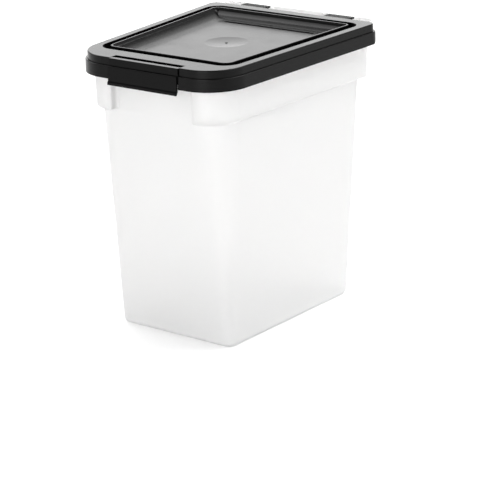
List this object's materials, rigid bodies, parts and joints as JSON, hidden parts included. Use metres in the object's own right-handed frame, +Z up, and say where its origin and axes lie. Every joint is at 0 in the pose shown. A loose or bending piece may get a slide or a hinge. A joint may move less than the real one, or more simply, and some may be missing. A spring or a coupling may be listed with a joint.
{
  "type": "pet food storage container",
  "caption": "Tall tapered clear food bin with a black sealing lid that swings on rear hooks and closes with a front latch.",
  "frame": {"origin": "under the middle of the overall box, on the surface that the bin stands on", "axes": "+X to the right seen from the front, +Y from the latch to the hinge, +Z up"},
  "size_m": [0.23, 0.2922, 0.315],
  "materials": {
    "clear_plastic": "frosted translucent polypropylene",
    "black_plastic": "moulded gloss",
    "black_latch_plastic": "moulded satin gloss",
    "seal_rubber": "soft matt"
  },
  "bodies": {
    "bin": {"bin": "clear_plastic"},
    "lid": {"lid": "black_plastic", "lid_seal": "seal_rubber"},
    "front_latch": {"front_latch": "black_latch_plastic"}
  },
  "joints": [
    {"name": "lid_hinge", "type": "hinge", "parent": "bin", "child": "lid", "pos_m": [0, 0.14115, 0.3098], "axis": [-1, 0, 0], "range_deg": [0, 110]},
    {"name": "latch_pivot", "type": "hinge", "parent": "lid", "child": "front_latch", "pos_m": [0, -0.13675, 0.3098], "axis": [-1, 0, 0], "range_deg": [0, 100]}
  ]
}
